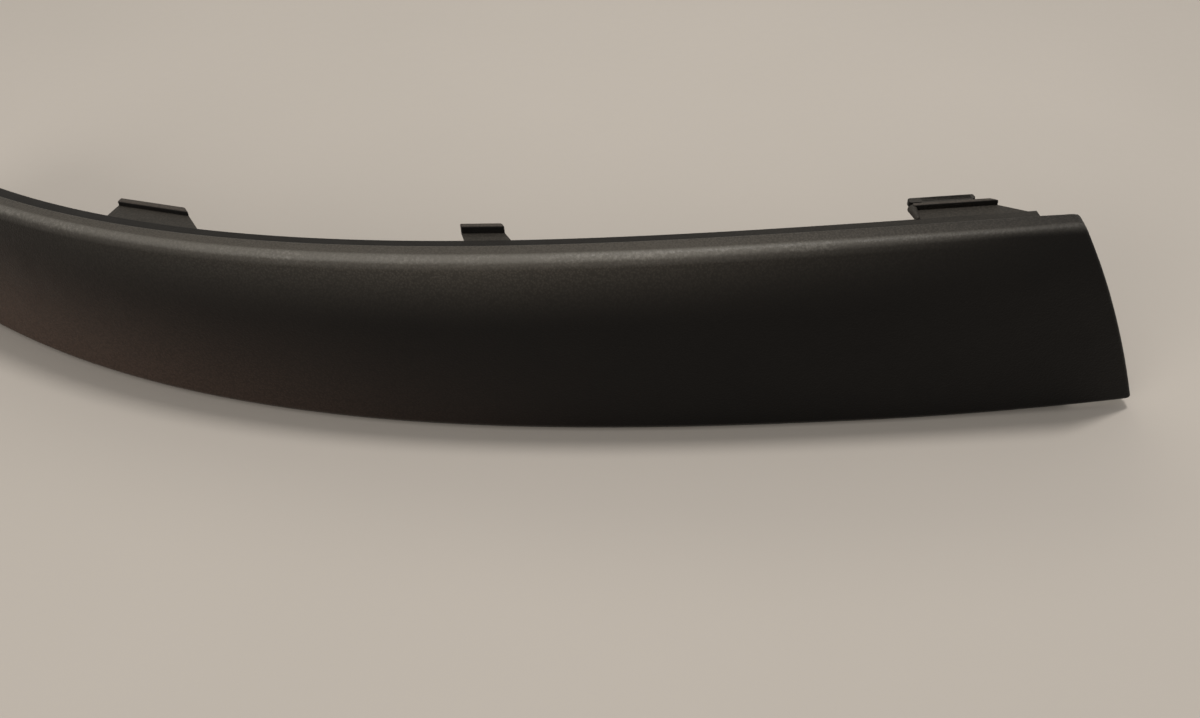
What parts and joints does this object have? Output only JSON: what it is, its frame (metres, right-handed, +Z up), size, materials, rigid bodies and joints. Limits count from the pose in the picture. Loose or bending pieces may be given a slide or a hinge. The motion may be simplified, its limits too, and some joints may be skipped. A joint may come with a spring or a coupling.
{
  "type": "bumper molding",
  "caption": "Curved, tapered channel moulding of grained black plastic that covers one corner of a car bumper, with hook tabs along its top flange.",
  "frame": {"origin": "on the ground, below the middle of the part's bounding box, with the part standing on its lower flange", "axes": "+Z up, +X along the length towards the slanted inner end, -Y the way the show face looks"},
  "size_m": [0.5946, 0.16, 0.0933],
  "materials": {
    "grained_plastic": "fine moulded grain, black, with a soft sheen along the shoulder"
  },
  "bodies": {
    "root": {"bumper_molding": "grained_plastic"}
  },
  "joints": []
}
